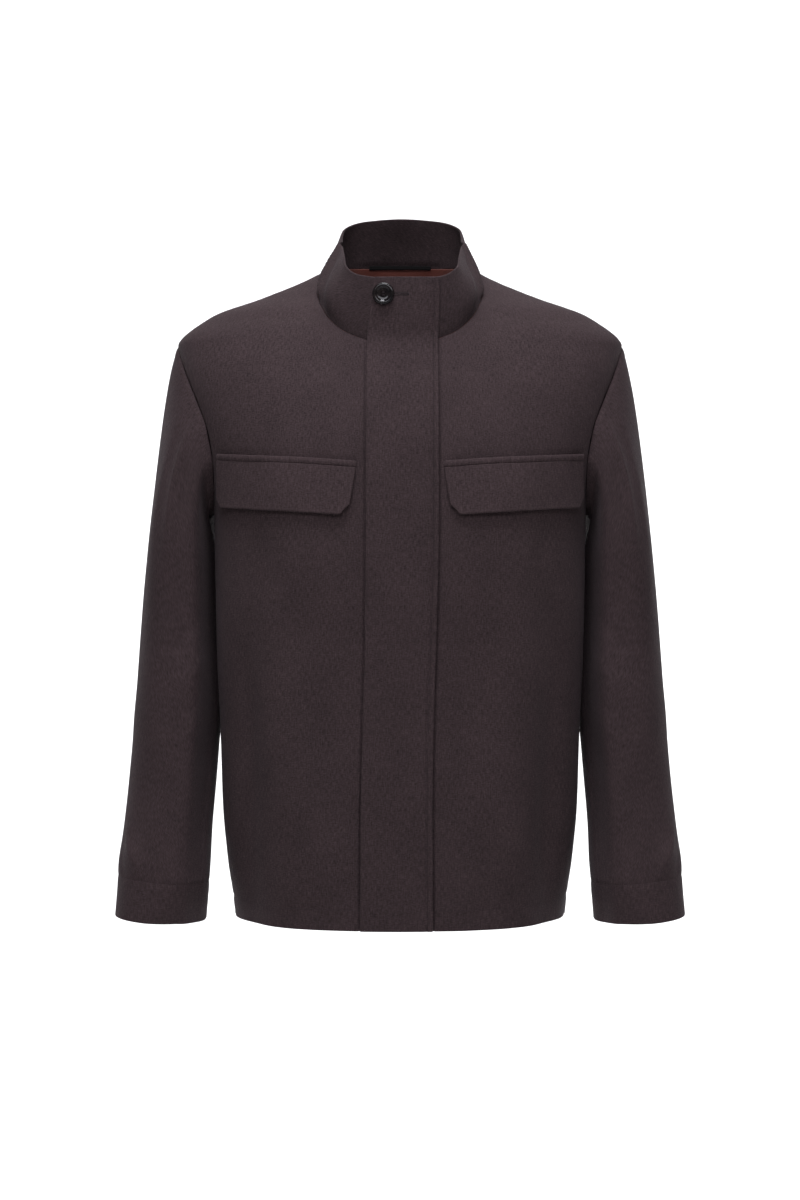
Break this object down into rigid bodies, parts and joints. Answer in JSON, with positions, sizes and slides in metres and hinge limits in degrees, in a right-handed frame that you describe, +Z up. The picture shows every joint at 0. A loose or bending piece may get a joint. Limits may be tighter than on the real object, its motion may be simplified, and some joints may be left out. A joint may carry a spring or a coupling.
{
  "type": "sport coat",
  "caption": "Dark brown wool sport coat with a stand collar, placket front, flap chest pockets and set-in sleeves, filled out and hollow for dressing a figure.",
  "frame": {"origin": "between the shoulders at the height where the shoulder seams meet the neck seam, over the middle of the side seams", "axes": "+Z up out of the neck, +X to the wearer's left, -Y out of the front"},
  "size_m": [0.6056, 0.2741, 0.7653],
  "materials": {
    "wool": "matte brushed wool",
    "horn": "polished",
    "lining_satin": "satin",
    "loop_tape": "matte"
  },
  "bodies": {
    "root": {"back": "wool", "front_left": "wool", "front_right": "wool", "sleeve_top_left": "wool", "sleeve_top_right": "wool", "sleeve_under_left": "wool", "sleeve_under_right": "wool", "cuff_left": "wool", "cuff_right": "wool", "collar": "wool", "placket": "wool", "jet_left": "wool", "jet_right": "wool", "flap_left": "wool", "flap_right": "wool", "button": "horn", "back_lining": "lining_satin", "hanger_loop": "loop_tape"}
  },
  "joints": []
}
